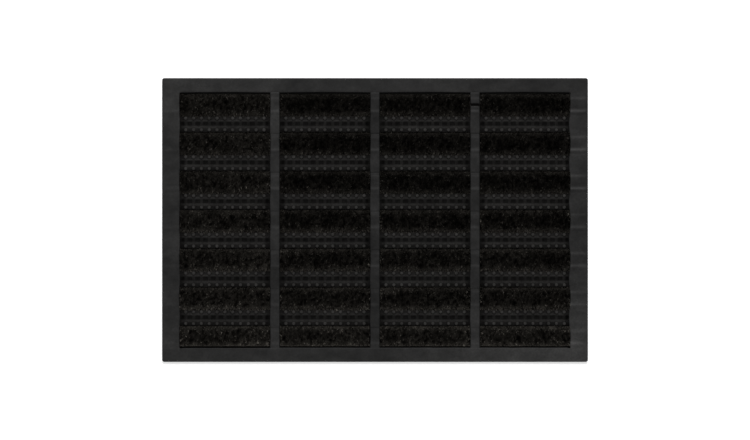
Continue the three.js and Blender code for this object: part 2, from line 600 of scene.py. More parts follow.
@dataclass(frozen=True)
class Bristle:
    """Near-black coarse bristle, whose tone is stored on each fibre.

    Attributes:
        name: the material's name.
        dark: colour of the darkest fibres.
        light: colour of the lightest fibres.
        roughness: how dull the fibres are.
        specular: strength of the reflection.
    """

    name: str
    dark: tuple[float, float, float]
    light: tuple[float, float, float]
    roughness: float = 0.85
    specular: float = 0.0

    def material(self) -> bpy.types.Material:
        """Builds the node material."""
        nodes = Nodes(self.name)
        tone = nodes.attribute(PileWindow.TONE)
        fleck = nodes.noise(900.0, 2.0, 0.5, nodes.place)
        share = nodes.arithmetic("MULTIPLY", tone, nodes.ramp(fleck, (0.3, 0.7), 0.7, 1.2))
        nodes.link(nodes.between(share, self.dark, self.light), nodes.shader.inputs["Base Color"])
        nodes.shader.inputs["Roughness"].default_value = self.roughness
        nodes.shader.inputs["Specular IOR Level"].default_value = self.specular
        return nodes.material


@dataclass(frozen=True)
class Weave:
    """Dark plain-woven ground cloth.

    Attributes:
        name: the material's name.
        dark: colour between the threads.
        thread: colour of the threads.
        pitch: distance from thread to thread.
    """

    name: str
    dark: tuple[float, float, float]
    thread: tuple[float, float, float]
    pitch: float = 1.4 * MM

    def material(self) -> bpy.types.Material:
        """Builds the node material."""
        nodes = Nodes(self.name)
        threads = []
        for direction in ("X", "Y"):
            wave = nodes.tree.nodes.new("ShaderNodeTexWave")
            wave.bands_direction = direction
            wave.inputs["Scale"].default_value = math.pi / 10 / self.pitch
            wave.inputs["Distortion"].default_value = 0.4
            nodes.link(nodes.place, wave.inputs["Vector"])
            threads.append(wave.outputs["Fac"])
        crossing = nodes.arithmetic("MULTIPLY", *threads)
        colour = nodes.between(crossing, self.dark, self.thread)
        nodes.link(colour, nodes.shader.inputs["Base Color"])
        nodes.shader.inputs["Roughness"].default_value = 0.9
        nodes.shader.inputs["Specular IOR Level"].default_value = 0.1
        nodes.relief(crossing, 0.3 * MM)
        return nodes.material


# ---------------------------------------------------------------- rubber


@dataclass
class MouldedTop:
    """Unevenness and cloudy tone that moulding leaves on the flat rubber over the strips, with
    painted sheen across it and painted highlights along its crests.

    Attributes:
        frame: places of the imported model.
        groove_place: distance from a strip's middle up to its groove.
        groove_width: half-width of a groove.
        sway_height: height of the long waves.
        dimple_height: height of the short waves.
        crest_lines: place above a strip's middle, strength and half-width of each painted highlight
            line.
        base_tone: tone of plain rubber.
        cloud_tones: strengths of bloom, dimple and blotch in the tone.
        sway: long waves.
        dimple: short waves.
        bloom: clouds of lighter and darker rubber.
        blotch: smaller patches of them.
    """

    frame: MatFrame
    groove_place: float = 13.4 * MM
    groove_width: float = 0.8 * MM
    sway_height: float = 0.14 * MM
    dimple_height: float = 0.05 * MM
    crest_lines: tuple[tuple[float, float, float], ...] = (
        (9.0 * MM, 0.45, 2.0 * MM),
        (-8.7 * MM, 1.0, 2.3 * MM),
        (-16.0 * MM, 0.35, 1.2 * MM),
    )
    base_tone: float = 0.88
    cloud_tones: tuple[float, float, float] = (0.24, 0.14, 0.12)
    sway: Ripple = field(default_factory=lambda: Ripple(70 * MM, 11))
    dimple: Ripple = field(default_factory=lambda: Ripple(14 * MM, 12))
    bloom: Ripple = field(default_factory=lambda: Ripple(38 * MM, 13))
    blotch: Ripple = field(default_factory=lambda: Ripple(5 * MM, 14))

    def waves(self, x: np.ndarray, y: np.ndarray) -> np.ndarray:
        """Long waves and short ones, in metres."""
        return self.sway_height * self.sway.at(x, y) + self.dimple_height * self.dimple.at(x, y)

    def shoulders(self, x: np.ndarray, y: np.ndarray) -> np.ndarray:
        """Saw-toothed relief of height 1 over each strip.

        Going down from the strip's upper edge it climbs at 11 to 7.5 mm above the middle, sinks
        slowly to 6 mm below it, climbs again to 11 mm below, and sinks to nothing at 14 mm.

        Args:
            x: coordinates along the mat.
            y: coordinates across the mat.

        Returns:
            The relief, from about -0.6 to 0.8.
        """
        total = np.zeros_like(y)
        for middle in self.frame.strip_middles:
            down = (middle - y) / MM
            upper = 0.75 * ease(down, -11.0, -7.5) - 1.2 * ease(down, -7.0, 6.0)
            total += upper + 1.2 * ease(down, 6.2, 11.0) - 0.75 * ease(down, 10.5, 14.0)
        return total * (1.0 + 0.35 * self.dimple.at(x * 0.7, y * 0.2))

    def crests(self, y: np.ndarray) -> np.ndarray:
        """Painted highlight lines beside each strip: the sum of strength exp(-((y - c) / s)^2).

        Args:
            y: coordinates across the mat.

        Returns:
            The strength of the painted highlights.
        """
        total = np.zeros_like(y)
        for middle in self.frame.strip_middles:
            for place, strength, spread in self.crest_lines:
                total += strength * bump_at(y, middle + place, spread)
        return total

    def grooves(self, y: np.ndarray) -> np.ndarray:
        """Thin grooves of depth 1 across the rubber below each strip's upper edge.

        Args:
            y: coordinates across the mat.

        Returns:
            The depth.
        """
        total = np.zeros_like(y)
        for middle in self.frame.strip_middles[1:]:
            total += bump_at(y, middle + self.groove_place, self.groove_width)
        return total

    def tone(self, x: np.ndarray, y: np.ndarray) -> np.ndarray:
        """Clouds of lighter rubber over a few broad lighter and darker stretches.

        The rubber is lighter towards the side at -Y and the corner at +X, -Y, and darker towards
        the side at +Y, as painted sheen from a light beyond that corner. It is also lighter at the
        corner at -X, +Y, and darker along the middle bar and the last bar.

        Args:
            x: coordinates along the mat.
            y: coordinates across the mat.

        Returns:
            The tone, about 0.9 on average.
        """
        # Painted sheen: corner and sides lighten towards -Y and +X, -Y and darken towards +Y.
        corner = 0.65 * ease(x, 20 * MM, 190 * MM) * ease(-y, 40 * MM, 190 * MM)
        left_top = 0.3 * ease(-x, 110 * MM, 150 * MM) * ease(y, 110 * MM, 160 * MM)
        middle = 0.22 * bump_at(x, -4 * MM, 24 * MM) + 0.12 * bump_at(x, 141 * MM, 24 * MM)
        sides = 0.1 * ease(-y, 90 * MM, 200 * MM) + 0.12 * ease(-y, 150 * MM, 190 * MM)
        sides -= 0.12 * ease(y, 150 * MM, 190 * MM)
        large, medium, small = self.cloud_tones
        clouds = large * self.bloom.at(x, y) + medium * self.dimple.at(x, y)
        clouds += small * self.blotch.at(x, y)
        return self.base_tone + corner + left_top - middle + sides + clouds


@dataclass
class BorderRing:
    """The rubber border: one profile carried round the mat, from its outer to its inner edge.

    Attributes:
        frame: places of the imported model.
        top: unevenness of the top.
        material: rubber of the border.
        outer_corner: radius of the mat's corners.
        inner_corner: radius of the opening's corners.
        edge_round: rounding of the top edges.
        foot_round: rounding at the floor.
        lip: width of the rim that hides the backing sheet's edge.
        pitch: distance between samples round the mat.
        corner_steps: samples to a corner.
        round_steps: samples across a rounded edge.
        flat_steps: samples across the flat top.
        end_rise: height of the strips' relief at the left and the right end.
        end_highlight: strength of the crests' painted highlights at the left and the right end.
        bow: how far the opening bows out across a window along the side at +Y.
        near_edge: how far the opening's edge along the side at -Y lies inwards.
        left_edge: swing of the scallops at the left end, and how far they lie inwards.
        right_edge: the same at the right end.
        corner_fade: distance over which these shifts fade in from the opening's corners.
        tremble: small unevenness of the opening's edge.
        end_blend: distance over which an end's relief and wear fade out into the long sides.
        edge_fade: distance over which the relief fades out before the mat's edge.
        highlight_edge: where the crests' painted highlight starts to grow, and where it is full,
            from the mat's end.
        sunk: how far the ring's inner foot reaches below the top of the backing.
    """

    frame: MatFrame
    top: MouldedTop
    material: bpy.types.Material
    outer_corner: float = 3.0 * MM
    inner_corner: float = 2.0 * MM
    edge_round: float = 1.0 * MM
    foot_round: float = 0.3 * MM
    lip: float = 1.2 * MM
    pitch: float = 1.8 * MM
    corner_steps: int = 6
    round_steps: int = 5
    flat_steps: int = 10
    end_rise: tuple[float, float] = (0.2 * MM, 0.6 * MM)
    end_highlight: tuple[float, float] = (0.16, 0.75)
    bow: float = 0.5 * MM
    near_edge: float = 1.2 * MM
    left_edge: tuple[float, float] = (0.3 * MM, 0.2 * MM)
    right_edge: tuple[float, float] = (1.0 * MM, 1.25 * MM)
    corner_fade: float = 6 * MM
    tremble: float = 0.15 * MM
    end_blend: float = 3 * MM
    edge_fade: float = 2 * MM
    highlight_edge: tuple[float, float] = (2 * MM, 7 * MM)
    sunk: float = 0.1 * MM

    def loop(self, half_x: float, half_y: float, radius: float) -> tuple[np.ndarray, np.ndarray]:
        """Rounded rectangle: arcs c + r (cos a, sin a), joined by straight runs.

        Args:
            half_x: half its length.
            half_y: half its width.
            radius: its corner radius.

        Returns:
            Points and outward normals, each shaped (n, 2), with the same n for any size.
        """
        points, normals = [], []
        size = (self.frame.length.half, self.frame.width.half)
        signs = [(1, 1), (-1, 1), (-1, -1), (1, -1)]
        for index, (sign_x, sign_y) in enumerate(signs):
            angle = np.linspace(0, math.pi / 2, self.corner_steps) + index * math.pi / 2
            normal = np.stack([np.cos(angle), np.sin(angle)], axis=-1)
            centre = np.array([sign_x * (half_x - radius), sign_y * (half_y - radius)])
            arc = centre + radius * normal
            next_x, next_y = signs[(index + 1) % 4]
            next_centre = np.array([next_x * (half_x - radius), next_y * (half_y - radius)])
            start = next_centre + radius * normal[-1]
            steps = round(2 * size[index % 2] / self.pitch)
            share = np.linspace(0, 1, steps + 1)[1:-1, None]
            points += [arc, arc[-1] * (1 - share) + start * share]
            normals += [normal, np.repeat(normal[-1:], steps - 1, axis=0)]
        return np.concatenate(points), np.concatenate(normals)

    def inner_shift(self, points: np.ndarray, normals: np.ndarray) -> np.ndarray:
        """How far the opening's edge lies outwards of its nominal line.

        Along the side at +Y it bows out by cos(pi w) across each window, and the side at -Y
        lies inwards, less at the first window. At the ends it is scalloped with the strips, by
        cos(2 pi d / pitch), and lies inwards, more at the right than at the left.

        Args:
            points: the nominal edge.
            normals: its outward normals.

        Returns:
            The shift, shaped (n,).
        """
        x, y = points[:, 0], points[:, 1]
        bow = np.zeros_like(x)
        for window in self.frame.windows:
            share = (x - window.middle) / (2 * window.half)
            inside = np.abs(share) < 0.5
            bow += np.where(inside, np.cos(math.pi * share), 0.0)
        bow *= np.where(normals[:, 1] > 0.99, self.bow, 0.0)
        pitch = self.frame.strips[0].middle - self.frame.strips[1].middle
        scallop = np.cos(2 * math.pi * (y - self.frame.strips[0].middle) / pitch)
        open_x, open_y = self.frame.opening
        from_side = ease(open_y.half - np.abs(y - open_y.middle), 0.0, self.corner_fade)
        from_end = ease(open_x.half - np.abs(x - open_x.middle), 0.0, self.corner_fade)
        ends = np.zeros_like(x)
        for sign, swing, inwards in ((-1, *self.left_edge), (1, *self.right_edge)):
            ends += np.where(normals[:, 0] * sign > 0.99, scallop * swing - inwards, 0.0)
        first = 1 - ease(x, self.frame.windows[0].high, self.frame.windows[1].low)
        near = np.where(normals[:, 1] < -0.99, self.near_edge * (1 - 0.5 * first), 0.0)
        tremble = self.tremble * self.top.dimple.at(x, y)
        return bow + ends * from_side - near * from_end + tremble

    def profile(self) -> list[tuple[float, float, float, float]]:
        """Rows of the profile as (share from outer to inner, inset, height, top share)."""
        top, foot = self.frame.frame_top, 0.0
        bend, round_ = self.foot_round, self.edge_round
        turns = np.linspace(0, math.pi / 2, self.round_steps)
        rows = [(0.0, self.lip, self.frame.backing_top - self.sunk, 0.0)]
        rows += [(0.0, self.lip, foot, 0.0), (0.0, bend, foot, 0.0), (0.0, 0.0, foot + bend, 0.0)]
        rows += [
            (0.0, round_ * (1 - math.cos(a)), top - round_ * (1 - math.sin(a)), math.sin(a))
            for a in turns
        ]
        shares = np.linspace(0, 1, self.flat_steps + 2)[1:-1]
        rows += [(share, round_, top, 1.0) for share in shares]
        rows += [
            (1.0, round_ * (1 - math.cos(a)), top - round_ * (1 - math.sin(a)), math.sin(a))
            for a in turns[::-1]
        ]
        return rows + [(1.0, 0.0, self.frame.backing_top - self.sunk, 0.0)]

    def ends(self, x: np.ndarray, strengths: tuple[float, float]) -> np.ndarray:
        """A strength at the left end, another at the right end, and none between.

        Args:
            x: coordinates along the mat.
            strengths: the two strengths.

        Returns:
            The strength at each point.
        """
        opening = self.frame.opening[0]
        left = 1 - ease(x, opening.low, opening.low + self.end_blend)
        right = ease(x, opening.high - self.end_blend, opening.high)
        return left * strengths[0] + right * strengths[1]

    def relief(self, x: np.ndarray, y: np.ndarray) -> np.ndarray:
        """Waves everywhere, and the strips' relief across both end borders.

        Both fade out before the mat's edge.

        Args:
            x: coordinates along the mat.
            y: coordinates across the mat.

        Returns:
            Height over the nominal top.
        """
        length, width = self.frame.length, self.frame.width
        edge = np.minimum(length.half - np.abs(x), width.half - np.abs(y))
        strips = self.top.shoulders(x, y) * self.ends(x, self.end_rise)
        return (self.top.waves(x, y) + strips) * ease(edge, 0.0, self.edge_fade)

    def tone(self, x: np.ndarray, y: np.ndarray) -> np.ndarray:
        """Clouds and painted sheen everywhere, and painted highlights along the crests across both
        end borders, uneven in strength.

        Args:
            x: coordinates along the mat.
            y: coordinates across the mat.

        Returns:
            The tone.
        """
        # Painted highlights along the crests at both ends, over the clouds and painted sheen.
        crests = self.top.crests(y) * self.ends(x, self.end_highlight)
        edge = ease(self.frame.length.half - np.abs(x), *self.highlight_edge)
        uneven = 1 + 0.7 * self.top.bloom.at(x * 1.5, y * 1.5)
        return self.top.tone(x, y) + crests * uneven * (0.3 + 0.7 * edge)

    def build(self) -> bpy.types.Object:
        """Carries the profile round the mat."""
        frame = self.frame
        outer, normals = self.loop(frame.length.half, frame.width.half, self.outer_corner)
        open_x, open_y = frame.opening
        inner, _ = self.loop(open_x.half, open_y.half, self.inner_corner)
        inner = inner + np.array([open_x.middle, open_y.middle])
        inner = inner + normals * self.inner_shift(inner, normals)[:, None]
        rows = []
        for share, inset, height, on_top in self.profile():
            plan = (outer - normals * inset) * (1 - share) + (inner + normals * inset) * share
            lift = height + on_top * self.relief(plan[:, 0], plan[:, 1])
            rows.append(np.column_stack([plan, np.broadcast_to(lift, len(plan))]))
        points = np.stack(rows)
        faces = lattice_faces(points.shape[0], points.shape[1], True, True)
        points = points.reshape(-1, 3)
        piece = new_piece("border_ring", points, [faces])
        store_value(piece, Rubber.TONE, self.tone(points[:, 0], points[:, 1]))
        face_outwards(piece)
        return finish_piece(piece, self.material, Slot.BORDER, "border_grid")


@dataclass
class Bar:
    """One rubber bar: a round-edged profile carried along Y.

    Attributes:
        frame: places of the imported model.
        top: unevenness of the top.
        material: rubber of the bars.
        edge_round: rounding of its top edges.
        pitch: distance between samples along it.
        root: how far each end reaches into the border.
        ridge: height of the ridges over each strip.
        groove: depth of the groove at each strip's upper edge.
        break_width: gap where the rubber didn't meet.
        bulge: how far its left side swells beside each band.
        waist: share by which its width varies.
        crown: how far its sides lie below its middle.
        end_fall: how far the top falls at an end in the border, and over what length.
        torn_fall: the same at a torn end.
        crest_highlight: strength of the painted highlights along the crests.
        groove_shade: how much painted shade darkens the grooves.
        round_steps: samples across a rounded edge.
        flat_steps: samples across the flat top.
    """

    frame: MatFrame
    top: MouldedTop
    material: bpy.types.Material
    edge_round: float = 1.0 * MM
    pitch: float = 1.0 * MM
    root: float = 1.2 * MM
    ridge: float = 0.3 * MM
    groove: float = 0.3 * MM
    break_width: float = 3.5 * MM
    bulge: float = 0.5 * MM
    waist: float = 0.02
    crown: float = 0.12 * MM
    end_fall: tuple[float, float] = (0.35 * MM, 2.5 * MM)
    torn_fall: tuple[float, float] = (1.0 * MM, 1.0 * MM)
    crest_highlight: float = 0.3
    groove_shade: float = 0.4
    round_steps: int = 5
    flat_steps: int = 7

    def section(self, half: float) -> np.ndarray:
        """Half-width and drop below the top of each profile point, with the share of relief.

        Args:
            half: half the bar's width.

        Returns:
            Offsets along X, drops and relief shares, shaped (n, 3).
        """
        turns = np.linspace(0, math.pi / 2, self.round_steps)
        depth = self.frame.frame_top - self.frame.backing_top
        round_ = self.edge_round
        left = [
            (-half + round_ * (1 - math.cos(a)), round_ * (1 - math.sin(a)), math.sin(a))
            for a in turns
        ]
        inside = np.linspace(-half + round_, half - round_, self.flat_steps + 2)[1:-1]
        flat = [(offset, 0.0, 1.0) for offset in inside]
        right = [(-offset, drop, share) for offset, drop, share in left[::-1]]
        return np.array([(-half, depth, 0.0), *left, *flat, *right, (half, depth, 0.0)])

    def stretch(
        self, name: str, span: Span, run: Span, torn: tuple[bool, bool]
    ) -> bpy.types.Object:
        """One length of the bar.

        Args:
            name: the piece's name.
            span: the bar along X.
            run: the length along Y.
            torn: whether the low and the high end are torn ones.

        Returns:
            The piece.
        """
        y = np.linspace(run.low, run.high, round(2 * run.half / self.pitch) + 1)
        if any(torn):
            extra = np.array([0.15, 0.4, 0.7]) * MM
            y = np.unique(np.concatenate([y, run.low + extra, run.high - extra]))
        section = self.section(span.half)
        offset, drop, share = (column[None, :] for column in section.T)
        along = y[:, None]
        waist = 1 + self.waist * self.top.dimple.at(np.full_like(along, span.low), along * 1.5)
        first, second = self.frame.strip_middles[:2]
        swell = 0.5 * self.bulge * (1 - np.cos(2 * math.pi * (along - first) / (first - second)))
        x = span.middle + offset * waist + swell * np.minimum(offset, 0.0) / span.half
        plan_y = np.broadcast_to(along, x.shape).copy()
        lift = self.top.waves(x, plan_y) + self.ridge * self.top.shoulders(x, plan_y)
        lift -= self.groove * self.top.grooves(plan_y)
        lift -= self.crown * (offset / span.half) ** 2
        ends = np.zeros_like(plan_y)
        for is_torn, end, sign in ((torn[0], run.low, 1), (torn[1], run.high, -1)):
            distance = sign * (plan_y - end)
            fall, reach = self.torn_fall if is_torn else self.end_fall
            ends += fall * (1 - ease(distance, -0.2 * MM, reach))
            if is_torn:
                ragged = self.top.dimple.at(x * 4, plan_y * 0 + end) * 0.5 * MM
                plan_y += ragged * (1 - ease(distance, 0.0, 2 * MM))
        height = self.frame.frame_top - drop + share * lift - ends * (drop < 3 * MM)
        points = np.stack([x, plan_y, height], axis=-1)
        rows, columns = points.shape[:2]
        faces = lattice_faces(rows, columns, False, True)
        caps = np.stack([np.arange(columns), (rows - 1) * columns + np.arange(columns)])
        piece = new_piece(name, points.reshape(-1, 3), [faces, caps])
        # Clouds and painted sheen, and painted highlights along the crests.
        tone = self.top.tone(x, plan_y) + self.crest_highlight * self.top.crests(plan_y)
        # Painted shade darkens the grooves.
        tone -= self.groove_shade * self.top.grooves(plan_y)
        store_value(piece, Rubber.TONE, tone.ravel())
        face_outwards(piece)
        return finish_piece(piece, self.material, Slot.BORDER, "border_grid")

    def build(self, index: int, broken: bool) -> None:
        """Makes one bar, in two lengths where it is broken.

        Args:
            index: the bar's number, from 0 at the lowest X.
            broken: whether the rubber has a gap over the middle of the first strip.
        """
        span = self.frame.bar(index)
        run = self.frame.opening[1].grown(self.root)
        name = f"bar_{index + 1}"
        if not broken:
            self.stretch(name, span, run, (False, False))
            return
        middle = self.frame.strips[0].middle
        lower = Span(run.low, middle - self.break_width / 2)
        upper = Span(middle + self.break_width / 2, run.high)
        self.stretch(f"{name}_lower", span, lower, (False, True))
        self.stretch(f"{name}_upper", span, upper, (True, False))


@dataclass
class StudBand:
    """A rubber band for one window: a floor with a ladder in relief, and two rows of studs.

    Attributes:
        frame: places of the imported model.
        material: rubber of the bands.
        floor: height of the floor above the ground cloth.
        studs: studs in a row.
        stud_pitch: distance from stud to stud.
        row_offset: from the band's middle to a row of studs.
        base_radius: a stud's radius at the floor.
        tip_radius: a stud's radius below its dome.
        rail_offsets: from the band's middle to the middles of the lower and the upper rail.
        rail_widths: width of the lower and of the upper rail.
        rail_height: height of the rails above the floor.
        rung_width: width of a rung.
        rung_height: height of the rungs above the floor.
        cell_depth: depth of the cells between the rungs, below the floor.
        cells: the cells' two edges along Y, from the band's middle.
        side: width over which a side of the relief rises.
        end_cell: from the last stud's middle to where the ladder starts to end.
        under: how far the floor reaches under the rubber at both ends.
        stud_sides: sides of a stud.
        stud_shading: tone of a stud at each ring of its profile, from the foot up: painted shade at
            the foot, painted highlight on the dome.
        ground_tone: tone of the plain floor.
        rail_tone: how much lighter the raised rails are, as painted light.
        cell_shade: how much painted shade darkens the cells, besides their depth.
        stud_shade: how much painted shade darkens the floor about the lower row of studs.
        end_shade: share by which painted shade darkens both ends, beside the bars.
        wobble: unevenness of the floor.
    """

    frame: MatFrame
    material: bpy.types.Material
    floor: float = 1.5 * MM
    studs: int = 11
    stud_pitch: float = 11.0 * MM
    row_offset: float = 8.1 * MM
    base_radius: float = 2.7 * MM
    tip_radius: float = 2.35 * MM
    rail_offsets: tuple[float, float] = (-5.0 * MM, 4.7 * MM)
    rail_widths: tuple[float, float] = (3.4 * MM, 2.2 * MM)
    rail_height: float = 1.0 * MM
    rung_width: float = 4.4 * MM
    rung_height: float = 0.15 * MM
    cell_depth: float = 0.7 * MM
    cells: tuple[float, float] = (-2.1 * MM, 2.7 * MM)
    side: float = 0.5 * MM
    end_cell: float = 5.0 * MM
    under: float = 1.0 * MM
    stud_sides: int = 10
    stud_shading: tuple[float, ...] = (0.3, 0.6, 1.0, 1.15, 1.25, 1.25)
    ground_tone: float = 0.6
    rail_tone: float = 0.18
    cell_shade: float = 0.2
    stud_shade: float = 0.26
    end_shade: float = 0.45
    wobble: Ripple = field(default_factory=lambda: Ripple(9 * MM, 21))

    def stud_places(self, window: Span) -> np.ndarray:
        """X of each stud of a row."""
        steps = np.arange(self.studs) - (self.studs - 1) / 2
        return window.middle + steps * self.stud_pitch

    def ladder(self, u: np.ndarray, v: np.ndarray) -> np.ndarray:
        """Relief of the floor about the band's middle.

        Each rail and rung is a plateau with eased sides, and cells lie between the rungs.

        Args:
            u: distance along X from the window's middle.
            v: distance along Y from the band's middle.

        Returns:
            Height above the floor.
        """
        side = self.side
        reach = (self.studs - 1) / 2 * self.stud_pitch + self.end_cell
        inside = 1 - ease(np.abs(u), reach, reach + 2 * MM)
        phase = np.abs((u / self.stud_pitch + 0.5) % 1.0 - 0.5) * self.stud_pitch
        rung = 1 - ease(phase, self.rung_width / 2 - side / 2, self.rung_width / 2 + side / 2)
        lower, upper = self.rail_offsets
        between = ease(v, lower, lower + side) * (1 - ease(v, upper - side, upper))
        height = between * inside * rung * self.rung_height
        height -= self.hollow(v) * inside * (1 - rung) * self.cell_depth
        for middle, width in zip(self.rail_offsets, self.rail_widths):
            away = np.abs(v - middle)
            rail = 1 - ease(away, width / 2 - side / 2, width / 2 + side / 2)
            bead = 0.12 * MM * (0.5 - phase / self.stud_pitch) * math.copysign(1, middle)
            height += rail * (inside * (self.rail_height - bead) - height)
        return height

    def hollow(self, v: np.ndarray) -> np.ndarray:
        """Share of a cell's depth: 1 between the cells' two edges, eased to 0 outside them.

        Args:
            v: distance along Y from the band's middle.

        Returns:
            The share.
        """
        low, high = self.cells
        half = self.side / 2
        return ease(v, low - half, low + half) * (1 - ease(v, high - half, high + half))

    def floor_shading(self, points: np.ndarray, window: Span, band: Span) -> np.ndarray:
        """Painted light and shade: 0.6 on the ground, 0.25 in the cells and 0.8 on the rails.

        Painted shade darkens it towards both ends, beside the bars, and about the lower row of
        studs.

        Args:
            points: vertices of the floor.
            window: the window along X.
            band: the band along Y.

        Returns:
            The wear, shaped (n,).
        """
        level = self.frame.cloth_top + self.floor
        height = (points[:, 2] - level) / self.rail_height
        v = points[:, 1] - band.middle
        # Painted light and shade: lighter with height, darker below the floor and in the cells,
        # darker about the lower studs with lighter ground beyond them, a lighter line along the
        # upper rail's upper edge, and darker ends beside the bars.
        tone = self.ground_tone + self.rail_tone * np.maximum(height, 0.0)
        tone = tone + 0.5 * np.clip(height, -0.3, 0.0)
        tone -= self.cell_shade * self.hollow(v)
        tone -= self.stud_shade * ease(-v, 6.6 * MM, 9.4 * MM)
        tone += 0.13 * bump_at(v, self.rail_offsets[1] + 0.7 * MM, 1.1 * MM)
        tone += 0.14 * ease(-v, 9.4 * MM, 11.0 * MM)
        end = window.half - np.abs(points[:, 0] - window.middle)
        return tone * (1 - self.end_shade * (1 - ease(end, 4.5 * MM, 11 * MM)))

    def cross_lines(self, half: float) -> np.ndarray:
        """Grid lines along X: at each rung's edges and between, and closer at both ends.

        Args:
            half: half the window's length.

        Returns:
            Distances from the window's middle.
        """
        edge, tip = self.rung_width / 2, half + self.under
        away = np.array([0.0, 0.5 * edge, edge - self.side / 2, edge + self.side / 2])
        away = np.concatenate([away, [(edge + self.stud_pitch / 2) / 2, self.stud_pitch / 2]])
        rungs = np.arange(self.studs) - (self.studs - 1) / 2
        lines = (rungs[:, None] * self.stud_pitch + np.concatenate([-away, away])).ravel()
        reach = (self.studs - 1) / 2 * self.stud_pitch + self.end_cell
        ends = np.array([reach, reach + 1 * MM, reach + 2 * MM, half - 1 * MM, half, tip])
        lines = np.concatenate([lines, ends, -ends])
        return np.unique(np.round(lines[np.abs(lines) <= tip], 6))

    def floor_block(self, window: Span, band: Span) -> tuple[np.ndarray, list[np.ndarray]]:
        """The floor with its ladder, reaching a little under the rubber at both ends.

        Its height is the ladder's relief plus waves of 0.1 mm, less a fall of 0.35 mm at both
        long edges.

        Args:
            window: the window along X.
            band: the band along Y.

        Returns:
            Vertices and faces.
        """
        x = window.middle + self.cross_lines(window.half)
        half = band.half
        edges = [*self.cells]
        for middle, width in zip(self.rail_offsets, self.rail_widths):
            edges += [middle - width / 2, middle + width / 2]
        sides = [edge + sign * self.side / 2 for edge in edges for sign in (-1, 1)]
        v = [-half, -half + 0.25 * MM, -half + 0.8 * MM, -9.2 * MM, -7.9 * MM, 0.0, 7.0 * MM]
        v += [half - 0.8 * MM, half - 0.25 * MM, half]
        v = np.unique(np.round(np.array(v + sides), 6))
        u_grid, v_grid = np.meshgrid(x - window.middle, v, indexing="ij")
        plan_x, plan_y = u_grid + window.middle, v_grid + band.middle
        level = self.frame.cloth_top + self.floor
        height = level + self.ladder(u_grid, v_grid) + 0.1 * MM * self.wobble.at(plan_x, plan_y)
        height -= 0.35 * MM * ease(np.abs(v_grid), half - 0.6 * MM, half)
        return relief_block(x, v + band.middle, height, self.frame.backing_top)

    def stud_block(
        self, window: Span, band: Span, seed: int
    ) -> tuple[np.ndarray, list[np.ndarray]]:
        """Every stud: a tapered round post with a dome, turned about its own slightly tilted axis.

        Args:
            window: the window along X.
            band: the band along Y.
            seed: seed of the studs' small differences.

        Returns:
            Vertices and faces of all studs.
        """
        tall = self.frame.stud_top - self.frame.cloth_top - self.floor
        base, tip = self.base_radius, self.tip_radius
        radii = np.array(
            [base + 0.15 * MM, base, tip + 0.1 * MM, tip * 0.98, tip * 0.82, tip * 0.4]
        )
        heights = np.array([-0.5 * MM, 0.15 * MM, tall * 0.68, tall * 0.86, tall * 0.96, tall])
        places = self.stud_places(window)
        x = np.concatenate([places, places])
        y = np.repeat([band.middle + self.row_offset, band.middle - self.row_offset], self.studs)
        draws = np.random.default_rng(seed)
        scale = draws.uniform(0.95, 1.03, len(x))[:, None, None]
        rise = draws.uniform(0.93, 1.0, len(x))[:, None, None]
        tilt = draws.normal(0.0, 0.02, (2, len(x), 1, 1))
        turn = np.arange(self.stud_sides) * 2 * math.pi / self.stud_sides
        ring = radii[None, :, None] * scale
        height = heights[None, :, None] * np.where(heights > 0, 1.0, 0.0)[None, :, None] * rise
        height = height + np.where(heights > 0, 0.0, heights)[None, :, None]
        plan_x = x[:, None, None] + ring * np.cos(turn) + tilt[0] * height
        plan_y = y[:, None, None] + ring * np.sin(turn) + tilt[1] * height
        z = np.broadcast_to(self.frame.cloth_top + self.floor + height, plan_x.shape)
        points = np.stack([plan_x, plan_y, z], axis=-1)
        count, levels, sides = plan_x.shape
        walls = lattice_faces(levels, sides, False, True)
        first = (np.arange(count) * levels * sides)[:, None]
        quads = (walls[None] + first[:, :, None]).reshape(-1, 4)
        foot = first + np.arange(sides)[None, ::-1]
        crown = first + (levels - 1) * sides + np.arange(sides)[None, :]
        return points.reshape(-1, 3), [quads, np.concatenate([foot, crown])]

    def build(self, row: int, column: int) -> bpy.types.Object:
        """Makes one band.

        Args:
            row: its row, from 0 at the highest Y.
            column: its column, from 0 at the lowest X.

        Returns:
            The piece.
        """
        window, band = self.frame.windows[column], self.frame.bands[row]
        seed = 100 + row * COLUMNS + column
        floor, studs = self.floor_block(window, band), self.stud_block(window, band, seed)
        points, faces = joined([floor, studs])
        node = f"stud_band_r{row + 1}_c{column + 1}"
        piece = new_piece(node.replace("stud_band", "studded_band"), points, faces)
        # Painted shade at each stud's foot, painted highlight on its dome.
        tone = np.tile(np.repeat(self.stud_shading, self.stud_sides), 2 * self.studs)
        tone = np.concatenate([self.floor_shading(floor[0], window, band), tone])
        store_value(piece, Rubber.TONE, np.clip(tone, 0.04, 2.0))
        face_outwards(piece)
        return finish_piece(piece, self.material, Slot.BAND, node)


